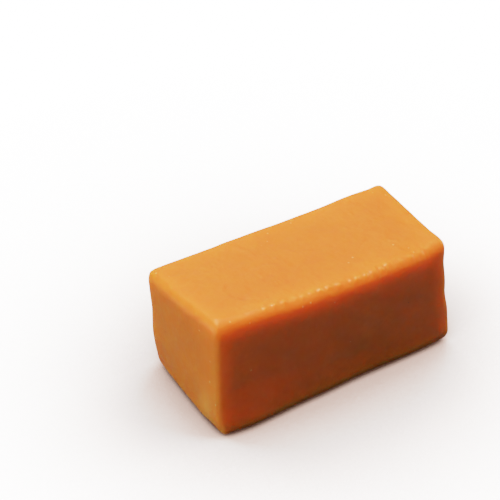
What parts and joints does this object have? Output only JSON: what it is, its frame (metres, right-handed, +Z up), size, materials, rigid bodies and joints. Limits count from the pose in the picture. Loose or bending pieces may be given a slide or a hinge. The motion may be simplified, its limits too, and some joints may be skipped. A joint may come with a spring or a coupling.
{
  "type": "caramel candy",
  "caption": "Soft caramel without its wrapper: an oblong chewy block with rounded edges, slightly sagged, that rests on its flat base.",
  "frame": {"origin": "centre of the block's box in plan, on its flat base", "axes": "+X along the block to its right end, +Y across it to its back, +Z up from the base"},
  "size_m": [0.0312, 0.0154, 0.0143],
  "materials": {
    "caramel": "satin, cooked sugar and milk"
  },
  "bodies": {
    "root": {"caramel": "caramel"}
  },
  "joints": []
}
